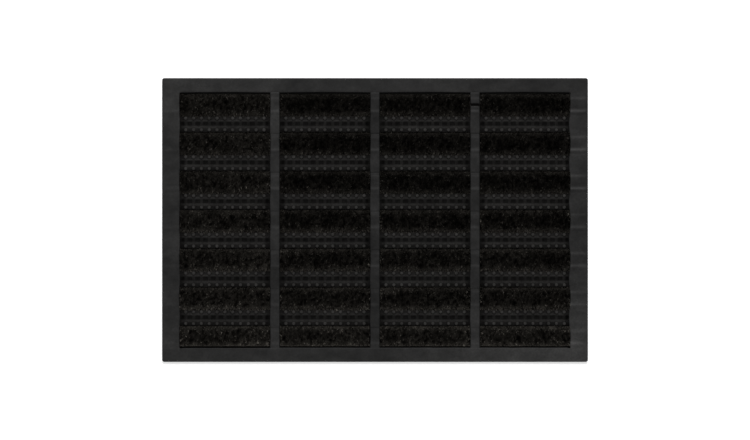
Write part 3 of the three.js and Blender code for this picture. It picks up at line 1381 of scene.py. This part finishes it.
@dataclass
class BackingSheet:
    """The sheet under everything, with shallow square cells below for grip.

    Attributes:
        frame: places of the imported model.
        material: rubber of the backing.
        inset: distance from its edge to the mat's edge.
        cell: pitch of the grip pattern.
        depth: depth of a cell.
    """

    frame: MatFrame
    material: bpy.types.Material
    inset: float = 1.25 * MM
    cell: float = 12.5 * MM
    depth: float = 0.4 * MM

    def lines(self, span: Span) -> np.ndarray:
        """Grid lines: four to a cell, at its wall's two edges and at its floor's two edges.

        Args:
            span: the sheet along one axis.

        Returns:
            The lines' coordinates.
        """
        cells = round(2 * span.half / self.cell)
        step = 2 * span.half / cells
        shares = np.array([0.0, 0.12, 0.24, 0.88])
        inner = (np.arange(cells)[:, None] + shares[None, :]).ravel() * step + span.low
        return np.append(inner, span.high)

    def build(self) -> bpy.types.Object:
        """Makes the sheet: its underside rises by the product of two eased square waves."""
        across, along = self.frame.length.grown(-self.inset), self.frame.width.grown(-self.inset)
        x, y = self.lines(across), self.lines(along)
        hollow_x = np.zeros(len(x))
        hollow_y = np.zeros(len(y))
        hollow_x[2::4], hollow_x[3::4] = 1.0, 1.0
        hollow_y[2::4], hollow_y[3::4] = 1.0, 1.0
        relief = self.depth * hollow_x[:, None] * hollow_y[None, :]
        points, faces = relief_block(x, y, relief, self.frame.backing_top)
        piece = new_piece("backing_rubber", points, faces)
        # Painted shade: the underside's recessed cells, and the hidden top, get tone 0.5 against
        # 0.9 on the flats.
        store_value(piece, Rubber.TONE, 0.9 - 0.4 * (points[:, 2] > 0.1 * MM))
        face_outwards(piece)
        return finish_piece(piece, self.material, Slot.BACKING, "backing_sheet")


# ---------------------------------------------------------------- textile


@dataclass
class GroundCloth:
    """The woven cloth that a strip's pile is tufted into.

    Attributes:
        frame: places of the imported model.
        material: the weave.
        thickness: of the cloth.
        pitch: distance between grid lines.
        buckle: unevenness of the cloth's top.
    """

    frame: MatFrame
    material: bpy.types.Material
    thickness: float = 0.9 * MM
    pitch: float = 3.0 * MM
    buckle: Ripple = field(default_factory=lambda: Ripple(18 * MM, 31))

    def build(self, strip: int) -> bpy.types.Object:
        """Makes one cloth, a thin slab whose top buckles by 0.08 mm.

        Args:
            strip: the strip's number, from 0 at the highest Y.

        Returns:
            The piece.
        """
        run, cloth = self.frame.cloth_run, self.frame.cloths[strip]
        x = np.linspace(run.low, run.high, round(2 * run.half / self.pitch) + 1)
        y = np.linspace(cloth.low, cloth.high, round(2 * cloth.half / self.pitch) + 1)
        plan_x, plan_y = np.meshgrid(x, y, indexing="ij")
        base = self.frame.backing_top + 0.02 * MM
        top = base + self.thickness - 0.08 * MM * np.abs(self.buckle.at(plan_x, plan_y))
        points, faces = relief_block(x, y, top, base)
        piece = new_piece(f"ground_cloth_{strip + 1}", points, faces)
        face_outwards(piece)
        finish_piece(piece, self.material, Slot.PILE, f"pile_strip_{strip + 1}")
        return piece


@dataclass(frozen=True)
class Fibres:
    """Where the bristles of one window stand.

    Attributes:
        root: roots, shaped (n, 3).
        u: distance from the window's middle along X, in halves of its length.
        v: distance from the strip's middle along Y, in halves of its width.
        streak: streaks from -1 to 1.
    """

    root: np.ndarray
    u: np.ndarray
    v: np.ndarray
    streak: np.ndarray


@dataclass
class PileWindow:
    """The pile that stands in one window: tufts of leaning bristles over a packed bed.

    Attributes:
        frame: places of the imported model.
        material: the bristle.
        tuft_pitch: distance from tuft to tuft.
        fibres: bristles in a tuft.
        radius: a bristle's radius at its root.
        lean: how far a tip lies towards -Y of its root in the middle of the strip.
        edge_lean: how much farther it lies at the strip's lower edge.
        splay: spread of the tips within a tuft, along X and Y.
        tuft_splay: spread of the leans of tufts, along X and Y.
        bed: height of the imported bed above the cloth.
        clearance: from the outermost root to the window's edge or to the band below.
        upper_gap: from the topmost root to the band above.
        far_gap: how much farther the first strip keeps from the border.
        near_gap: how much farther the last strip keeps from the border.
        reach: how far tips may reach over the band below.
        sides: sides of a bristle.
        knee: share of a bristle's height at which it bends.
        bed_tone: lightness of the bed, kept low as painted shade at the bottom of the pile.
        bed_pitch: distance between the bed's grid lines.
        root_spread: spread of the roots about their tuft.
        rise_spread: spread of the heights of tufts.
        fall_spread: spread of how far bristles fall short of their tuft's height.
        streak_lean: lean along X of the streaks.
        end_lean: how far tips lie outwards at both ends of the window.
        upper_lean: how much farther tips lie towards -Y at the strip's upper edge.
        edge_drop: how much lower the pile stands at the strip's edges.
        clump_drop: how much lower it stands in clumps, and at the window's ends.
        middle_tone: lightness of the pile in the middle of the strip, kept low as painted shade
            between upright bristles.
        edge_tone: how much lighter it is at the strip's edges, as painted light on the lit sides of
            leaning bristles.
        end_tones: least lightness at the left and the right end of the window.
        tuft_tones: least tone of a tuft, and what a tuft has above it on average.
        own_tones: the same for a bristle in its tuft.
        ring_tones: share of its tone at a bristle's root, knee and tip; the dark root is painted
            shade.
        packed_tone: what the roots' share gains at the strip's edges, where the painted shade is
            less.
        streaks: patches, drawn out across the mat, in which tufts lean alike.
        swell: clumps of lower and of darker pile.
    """

    frame: MatFrame
    material: bpy.types.Material
    tuft_pitch: float = 2.4 * MM
    fibres: int = 7
    radius: float = 0.29 * MM
    lean: float = 0.4 * MM
    edge_lean: float = 4.2 * MM
    splay: tuple[float, float] = (0.4 * MM, 0.8 * MM)
    tuft_splay: tuple[float, float] = (0.5 * MM, 0.9 * MM)
    bed: float = 2.2 * MM
    clearance: float = 0.7 * MM
    upper_gap: float = 0.2 * MM
    far_gap: float = 0.4 * MM
    near_gap: float = 2.6 * MM
    reach: float = 3.6 * MM
    sides: int = 3
    knee: float = 0.55
    bed_tone: float = 0.11
    bed_pitch: float = 2.2 * MM
    root_spread: float = 0.4 * MM
    rise_spread: float = 0.35 * MM
    fall_spread: float = 0.5 * MM
    streak_lean: float = 0.6 * MM
    end_lean: float = 2.2 * MM
    upper_lean: float = 0.6 * MM
    edge_drop: float = 0.9 * MM
    clump_drop: float = 0.35 * MM
    middle_tone: float = 0.25
    edge_tone: float = 0.68
    end_tones: tuple[float, float] = (0.65, 0.7)
    tuft_tones: tuple[float, float] = (0.15, 0.85)
    own_tones: tuple[float, float] = (0.85, 0.15)
    ring_tones: tuple[float, float, float] = (0.2, 0.82, 0.88)
    packed_tone: float = 0.2
    streaks: Ripple = field(default_factory=lambda: Ripple(5 * MM, 41, 3.5))
    swell: Ripple = field(default_factory=lambda: Ripple(16 * MM, 42))

    TONE = "tone"
    BAKE_MAP = "OFBake"

    def tuft_roots(
        self, window: Span, strip: Span, draws: np.random.Generator
    ) -> tuple[np.ndarray, np.ndarray]:
        """Roots on a jittered lattice whose rows are offset by half a pitch.

        Args:
            window: the window along X.
            strip: the strip along Y.
            draws: random numbers.

        Returns:
            X and Y of each tuft.
        """
        run = window.grown(-self.clearance)
        depth = Span(strip.low + self.clearance, strip.high - self.upper_gap)
        columns = round(2 * run.half / self.tuft_pitch)
        rows = round(2 * depth.half / self.tuft_pitch)
        column, row = np.meshgrid(np.arange(columns), np.arange(rows), indexing="ij")
        share_x = (column + 0.5 + 0.25 * (-1.0) ** row) / columns
        share_y = (row + 0.5) / rows
        jitter = draws.uniform(-0.42, 0.42, (2, *column.shape)) * self.tuft_pitch
        x = run.low + share_x * 2 * run.half + jitter[0]
        y = depth.low + share_y * 2 * depth.half + jitter[1]
        return np.clip(x, run.low, run.high).ravel(), np.clip(y, depth.low, depth.high).ravel()

    def fibre_shapes(
        self, window: Span, strip: Span, draws: np.random.Generator
    ) -> tuple[np.ndarray, np.ndarray, np.ndarray]:
        """Root, tip offset and tone of each bristle.

        Args:
            window: the window along X.
            strip: the strip along Y.
            draws: random numbers.

        Returns:
            Roots (n, 3), tip offsets (n, 3) and tones (n,).
        """
        tuft_x, tuft_y = self.tuft_roots(window, strip, draws)
        count = len(tuft_x)
        tuft_lean = draws.normal(0.0, 1.0, (count, 2)) * np.array(self.tuft_splay)
        tuft_tone = draws.exponential(1.0, count)
        tuft_rise = draws.normal(0.0, self.rise_spread, count)
        each = np.repeat(np.arange(count), self.fibres)
        root = np.zeros((len(each), 3))
        root[:, 0] = tuft_x[each] + draws.normal(0.0, self.root_spread, len(each))
        root[:, 1] = tuft_y[each] + draws.normal(0.0, self.root_spread, len(each))
        run, depth = window.grown(-self.clearance / 2), strip.grown(-self.clearance / 2)
        root[:, 0] = np.clip(root[:, 0], run.low, run.high)
        root[:, 1] = np.clip(root[:, 1], depth.low, depth.high)
        root[:, 2] = self.frame.cloth_top - 0.1 * MM
        fibres = Fibres(
            root=root,
            u=(root[:, 0] - window.middle) / window.half,
            v=(root[:, 1] - strip.middle) / strip.half,
            streak=self.streaks.at(root[:, 0], root[:, 1]),
        )
        lean = self.leans(fibres, tuft_lean[each], run, strip, draws)
        rise = self.rises(fibres, tuft_rise[each], lean, draws)
        tone = self.tones(fibres, tuft_tone[each], draws)
        return root, np.column_stack([lean, rise]), tone

    def leans(
        self,
        fibres: Fibres,
        tuft: np.ndarray,
        run: Span,
        strip: Span,
        draws: np.random.Generator,
    ) -> np.ndarray:
        """How far each tip lies from its root in plan.

        It lies towards -Y by lean, plus edge_lean at the lower edge, plus a streaky part and a
        random part for each tuft and each bristle. It keeps inside the window, doesn't reach
        over the band above, and reaches only a little over the band below.

        Args:
            fibres: where the bristles stand.
            tuft: lean of each bristle's tuft, shaped (n, 2).
            run: where tips may lie along X.
            strip: the strip along Y.
            draws: random numbers.

        Returns:
            Offsets along X and Y, shaped (n, 2).
        """
        root, u, v = fibres.root, fibres.u, fibres.v
        x = tuft[:, 0] + draws.normal(0.0, self.splay[0], len(root))
        x += self.streak_lean * fibres.streak
        x += self.end_lean * np.sign(u) * ease(np.abs(u), 0.8, 1.0)
        x = np.clip(x, run.low - root[:, 0], run.high - root[:, 0])
        y = tuft[:, 1] + draws.normal(0.0, self.splay[1], len(root)) - self.lean
        y -= self.edge_lean * ease(-v, 0.3, 1.0) + self.upper_lean * ease(v, 0.6, 1.0)
        y = np.minimum(y, strip.high - 0.1 * MM - root[:, 1])
        reach = self.reach * (0.75 + 0.25 * self.swell.at(root[:, 0], root[:, 1] * 0.1))
        reach *= 1 - 0.6 * ease(np.abs(u), 0.8, 0.95)
        if strip.low < self.frame.strips[-1].middle:
            reach = -0.6 * MM
        y = np.maximum(y, strip.low - reach - root[:, 1])
        return np.column_stack([x, y])

    def rises(
        self, fibres: Fibres, tuft: np.ndarray, lean: np.ndarray, draws: np.random.Generator
    ) -> np.ndarray:
        """Height of each tip over its root.

        It is the pile's height, less a drop at the edges and in clumps, less a random fall,
        plus the tuft's own part, less (x^2 + y^2) / (2 height) for a tip that lies at (x, y).

        Args:
            fibres: where the bristles stand.
            tuft: how much higher each bristle's tuft stands.
            lean: how far each tip lies from its root in plan.
            draws: random numbers.

        Returns:
            The heights, shaped (n,).
        """
        root, u, v = fibres.root, fibres.u, fibres.v
        tall = self.frame.pile_top - self.frame.cloth_top
        drop = self.edge_drop * ease(np.abs(v), 0.75, 1.0)
        drop = drop + self.clump_drop * ease(np.abs(u), 0.96, 1.0)
        drop = drop + self.clump_drop * (1 + self.swell.at(root[:, 0], root[:, 1]))
        fall = np.abs(draws.normal(0.0, self.fall_spread, len(root)))
        rise = tall - drop - fall + tuft - 0.3 * MM
        rise -= np.sum(lean**2, axis=1) / (2 * tall)
        return np.clip(rise, 0.4 * tall, tall)

    def tones(
        self, fibres: Fibres, tuft: np.ndarray, draws: np.random.Generator
    ) -> np.ndarray:
        """Tone of each bristle.

        It is light at the strip's edges and the window's ends, and there it varies less by
        clump, tuft and bristle. The dark middle is painted shade and the light edges are
        painted light, where the bristles lean and show their lit sides.

        Args:
            fibres: where the bristles stand.
            tuft: tone of each bristle's tuft.
            draws: random numbers.

        Returns:
            The tones, shaped (n,).
        """
        root, u, v = fibres.root, fibres.u, fibres.v
        # Painted light at the strip's edges, painted shade in its middle.
        side = self.middle_tone + self.edge_tone * ease(-v, 0.15, 1.05)
        side = side + self.edge_tone * ease(v, 0.25, 0.95)
        side = np.maximum(side, self.end_tones[1] * ease(u, 0.88, 1.0))
        side = np.maximum(side, self.end_tones[0] * ease(-u, 0.86, 0.96))
        own = self.own_tones[0] + self.own_tones[1] * draws.exponential(1.0, len(root))
        streaky = 1 + 0.5 * fibres.streak * ease(-v, 0.4, 0.9)
        clump = self.clumps(root[:, 0], root[:, 1]) * streaky
        varied = clump * (self.tuft_tones[0] + self.tuft_tones[1] * tuft) * own
        tone = side * (1 + (varied - 1) * (1 - 0.75 * ease(np.abs(v), 0.4, 0.9)))
        return tone * self.broad_lightness(root[:, 0], root[:, 1], v)

    def clumps(self, x: np.ndarray, y: np.ndarray) -> np.ndarray:
        """Light and dark clumps about 3 and 9 mm across: (1 + fine) (1 + 0.35 coarse).

        Args:
            x: coordinates along the mat.
            y: coordinates across the mat.

        Returns:
            The factor on the tone.
        """
        fine = self.swell.at(x * 6.2, y * 5.4)
        coarse = self.swell.at(x * 1.7 + 1.0, y * 1.7)
        return (1 + fine) * (1 + 0.35 * coarse)

    def broad_lightness(self, x: np.ndarray, y: np.ndarray, v: np.ndarray) -> np.ndarray:
        """Broad lightness of the pile.

        There is more in the lowest strips, and in the first column between its darker left end
        and the strip's edges.

        Args:
            x: coordinates along the mat.
            y: coordinates across the mat.
            v: distance from the strip's middle, in halves of its width.

        Returns:
            The factor on the tone.
        """
        first = (1 - ease(x, -150 * MM, -141 * MM)) * (0.3 + 0.7 * ease(x, -272 * MM, -250 * MM))
        first = first * (1 - 0.75 * ease(np.abs(v), 0.4, 0.9))
        lower = 0.45 * ease(-y, -60 * MM, 60 * MM) + 0.8 * ease(-y, 90 * MM, 170 * MM)
        return 0.85 + first * (0.9 - 0.6 * lower) + lower

    def bristles(
        self, root: np.ndarray, tip: np.ndarray, turn: np.ndarray
    ) -> tuple[np.ndarray, list[np.ndarray]]:
        """Every bristle: a three-sided spike through root, knee and tip.

        The line is root + (tip_x t^1.6, tip_y t^1.6, tip_z t), with a ring of vertices at t = 0
        and at the knee, and one vertex at t = 1.

        Args:
            root: roots, shaped (n, 3).
            tip: tip offsets, shaped (n, 3).
            turn: angle of each bristle's first side.

        Returns:
            Vertices and faces.
        """
        count = len(root)
        angle = turn[:, None] + np.arange(self.sides) * 2 * math.pi / self.sides
        spoke = np.stack([np.cos(angle), np.sin(angle), np.zeros_like(angle)], axis=-1)
        bend = self.knee**1.6
        knee = root + tip * np.array([bend, bend, self.knee])
        low = root[:, None] + self.radius * spoke
        high = knee[:, None] + 0.85 * self.radius * spoke
        points = np.concatenate([low, high, (root + tip)[:, None]], axis=1)
        first = np.arange(count)[:, None] * (2 * self.sides + 1)
        side = np.arange(self.sides)
        beside = (side + 1) % self.sides
        walls = np.stack([side, beside, beside + self.sides, side + self.sides], axis=-1)
        spikes = np.stack([side + self.sides, beside + self.sides], axis=-1)
        spikes = np.column_stack([spikes, np.full(self.sides, 2 * self.sides)])
        quads = (walls[None] + first[:, :, None]).reshape(-1, 4)
        triangles = (spikes[None] + first[:, :, None]).reshape(-1, 3)
        feet = first + side[None, ::-1]
        return points.reshape(-1, 3), [quads, np.concatenate([triangles, feet])]

    def bed_block(self, window: Span, strip: Span) -> tuple[np.ndarray, list[np.ndarray]]:
        """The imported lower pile: a lumpy block that falls away at its edges.

        Its height is bed (3t^2 - 2t^3), with t rising from the edge to 3 mm inside it, times
        lumps of 12 per cent.

        Args:
            window: the window along X.
            strip: the strip along Y.

        Returns:
            Vertices and faces.
        """
        run, depth = window.grown(-self.clearance), strip.grown(-self.clearance)
        x = np.linspace(run.low, run.high, round(2 * run.half / self.bed_pitch) + 1)
        y = np.linspace(depth.low, depth.high, round(2 * depth.half / self.bed_pitch) + 1)
        plan_x, plan_y = np.meshgrid(x, y, indexing="ij")
        edge_x = run.half - np.abs(plan_x - run.middle)
        edge_y = depth.half - np.abs(plan_y - depth.middle)
        slope = ease(np.minimum(edge_x, edge_y), -0.5 * MM, 3.0 * MM)
        lumps = 1 + 0.12 * self.swell.at(plan_x * 3, plan_y * 3)
        height = self.frame.cloth_top + self.bed * slope * lumps
        return relief_block(x, y, height, self.frame.cloth_top - 0.1 * MM)

    def store(self, piece: bpy.types.Object, tone: np.ndarray, count: int) -> None:
        """Stores each bristle's tone, and a map with a small cell for each bristle.

        Args:
            piece: the piece.
            tone: tone of each vertex.
            count: number of bristles, whose vertices come first.
        """
        mesh = piece.data
        store_value(piece, self.TONE, tone)
        corners = np.zeros(len(mesh.loops), np.int32)
        mesh.loops.foreach_get("vertex_index", corners)
        each = 2 * self.sides + 1
        cells = math.ceil(math.sqrt(count * 1.1))
        owner = np.minimum(corners // each, cells * cells - 1)
        local = corners % each
        on_bristle = corners < count * each
        share_u = np.where(local < 2 * self.sides, (local % self.sides + 0.5) / self.sides, 0.5)
        share_v = np.where(local < self.sides, 0.15, np.where(local < 2 * self.sides, 0.5, 0.85))
        u = (owner % cells + 0.15 + 0.7 * share_u) / cells
        v = (owner // cells + share_v) / cells
        place = np.zeros((len(mesh.vertices), 3), np.float32)
        mesh.vertices.foreach_get("co", place.ravel())
        low, high = place.min(0), place.max(0)
        spare = 1 - (count / cells / cells)
        bed_u = (place[corners, 0] - low[0]) / (high[0] - low[0])
        bed_v = 1 - spare * 0.8 * (place[corners, 1] - low[1]) / (high[1] - low[1])
        layer = mesh.uv_layers.new(name=self.BAKE_MAP)
        both = np.stack([np.where(on_bristle, u, bed_u), np.where(on_bristle, v, bed_v)], axis=-1)
        layer.data.foreach_set("uv", both.astype(np.float32).ravel())

    def build(self, strip: int, column: int) -> bpy.types.Object:
        """Makes the pile of one window of one strip.

        Args:
            strip: the strip's number, from 0 at the highest Y.
            column: the window's number, from 0 at the lowest X.

        Returns:
            The piece.
        """
        window, run = self.frame.windows[column], self.frame.strips[strip]
        if strip == 0:
            run = Span(run.low, run.high - self.far_gap)
        if strip == STRIPS - 1:
            run = Span(run.low + self.near_gap, run.high)
        draws = np.random.default_rng(1000 + strip * COLUMNS + column)
        root, tip, tone = self.fibre_shapes(window, run, draws)
        turn = draws.uniform(0.0, 2 * math.pi, len(root))
        bristles = self.bristles(root, tip, turn)
        bed = self.bed_block(window, run)
        points, faces = joined([bristles, bed])
        # Painted shade: bristles darker at the root, less so at the strip's edges.
        foot, knee, end = self.ring_tones
        shares = np.array([foot] * self.sides + [knee] * self.sides + [end])
        packed = np.array([self.packed_tone] * self.sides + [0.0] * (self.sides + 1))
        edge = ease(np.abs(root[:, 1] - run.middle) / run.half, 0.5, 0.95)
        tones = (tone[:, None] * (shares[None, :] + packed[None, :] * edge[:, None])).ravel()
        bed_x, bed_y = bed[0][:, 0], bed[0][:, 1]
        bed_v = (bed_y - run.middle) / run.half
        # Painted shade: the bed is dark, lighter towards the strip's edges.
        low_tone = self.bed_tone * self.clumps(bed_x, bed_y) * self.broad_lightness(bed_x, bed_y, bed_v)
        low_tone *= 1 + 1.2 * ease(np.abs(bed_v), 0.5, 0.95)
        tones = np.concatenate([tones, low_tone])
        piece = new_piece(f"pile_s{strip + 1}_c{column + 1}", points, faces)
        self.store(piece, tones, len(root))
        return finish_piece(piece, self.material, Slot.PILE, f"pile_strip_{strip + 1}")


# ---------------------------------------------------------------- studio


@dataclass
class Studio:
    """Pale floor, soft light and a camera straight above the mat.

    Attributes:
        frame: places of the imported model.
        view_width: width that the camera takes in at the mat.
        lens: focal length in millimetres.
        sensor: width of the sensor in millimetres.
        sky: strength of the light from all round.
        glow: light given off by the table.
        floor_half: half the floor's side.
        key_light: place, side and power of the lamp beyond the mat.
        fill_light: the same of the lamp on the near side.
    """

    frame: MatFrame
    view_width: float = 1.0565
    lens: float = 100.0
    sensor: float = 36.0
    sky: float = 0.42
    glow: float = 0.35
    floor_half: float = 6.0
    key_light: tuple[tuple[float, float, float], float, float] = ((0.1, 1.7, 2.4), 1.3, 62.0)
    fill_light: tuple[tuple[float, float, float], float, float] = ((-0.4, -1.8, 2.6), 2.0, 16.0)

    def floor(self) -> None:
        """Makes the floor, a wide square just under the mat."""
        half = self.floor_half
        corners = np.array([[-half, -half, 0], [half, -half, 0], [half, half, 0], [-half, half, 0]])
        corners = corners + np.array([0, 0, -0.05 * MM])
        piece = new_piece("floor", corners, [np.array([[0, 1, 2, 3]])])
        nodes = Nodes("studio_floor")
        nodes.shader.inputs["Base Color"].default_value = (0.92, 0.92, 0.92, 1.0)
        nodes.shader.inputs["Roughness"].default_value = 1.0
        nodes.shader.inputs["Specular IOR Level"].default_value = 0.0
        nodes.shader.inputs["Emission Color"].default_value = (1.0, 1.0, 1.0, 1.0)
        nodes.shader.inputs["Emission Strength"].default_value = self.glow
        piece.data.materials.append(nodes.material)

    def lamp(self, name: str, place: tuple[float, float, float], size: float, power: float) -> None:
        """Adds a square soft lamp that faces the mat.

        Args:
            name: the lamp's name.
            place: where it stands.
            size: its side.
            power: its power in watts.
        """
        light = bpy.data.lights.new(name, "AREA")
        light.shape, light.size, light.energy = "SQUARE", size, power
        lamp = bpy.data.objects.new(name, light)
        x, y, z = place
        lamp.location = place
        lamp.rotation_euler = (math.atan2(math.hypot(x, y), z), 0.0, math.atan2(x, -y))
        bpy.context.scene.collection.objects.link(lamp)

    def sky_light(self) -> None:
        """Lights the scene evenly from all round."""
        world = bpy.data.worlds.new("studio")
        world.use_nodes = True
        background = world.node_tree.nodes["Background"]
        background.inputs["Color"].default_value = (1.0, 1.0, 1.0, 1.0)
        background.inputs["Strength"].default_value = self.sky
        bpy.context.scene.world = world

    def camera(self) -> None:
        """Sets the camera straight above the middle of the mat, with +Y at the top."""
        data = bpy.data.cameras.new("camera")
        data.lens, data.sensor_width, data.sensor_fit = self.lens, self.sensor, "HORIZONTAL"
        camera = bpy.data.objects.new("camera", data)
        distance = self.view_width * self.lens / self.sensor
        camera.location = (0.0, 0.0, self.frame.frame_top + distance)
        bpy.context.scene.collection.objects.link(camera)
        bpy.context.scene.camera = camera

    def build(self) -> None:
        """Sets up floor, lights, camera and plain colour handling."""
        self.floor()
        self.sky_light()
        self.lamp("key_light", *self.key_light)
        self.lamp("fill_light", *self.fill_light)
        self.camera()
        bpy.context.scene.view_settings.view_transform = "Standard"


# ---------------------------------------------------------------- the mat


BORDER_RUBBER = Rubber("border_rubber", (0.0015, 0.0015, 0.0015), (0.0155, 0.0153, 0.0151))
BAND_RUBBER = Rubber(
    "band_rubber", (0.0, 0.0, 0.0), (0.0215, 0.0208, 0.0200), specular=0.0, flow=(60.0, 60.0)
)
BACKING_RUBBER = Rubber("backing_rubber", (0.004, 0.004, 0.004), (0.018, 0.018, 0.0176))
BRISTLE = Bristle("pile_bristle", (0.0, 0.0, 0.0), (0.0400, 0.0368, 0.0320))
WEAVE = Weave("ground_weave", (0.001, 0.001, 0.0009), (0.008, 0.0074, 0.0066))
BROKEN_BAR = 2


def main() -> None:
    """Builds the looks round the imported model."""
    logging.basicConfig(level=logging.INFO, format="%(name)s %(message)s")
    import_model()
    frame = MatFrame.read()
    Studio(frame).build()
    border_rubber = BORDER_RUBBER.material()
    top = MouldedTop(frame)
    BackingSheet(frame, BACKING_RUBBER.material()).build()
    BorderRing(frame, top, border_rubber).build()
    bar = Bar(frame, top, border_rubber)
    for index in range(COLUMNS - 1):
        bar.build(index, index == BROKEN_BAR)
    band = StudBand(frame, BAND_RUBBER.material())
    for row in range(ROWS):
        for column in range(COLUMNS):
            band.build(row, column)
    cloth = GroundCloth(frame, WEAVE.material())
    pile = PileWindow(frame, BRISTLE.material())
    for strip in range(STRIPS):
        cloth.build(strip)
        for column in range(COLUMNS):
            pile.build(strip, column)


if __name__ == "__main__":
    main()
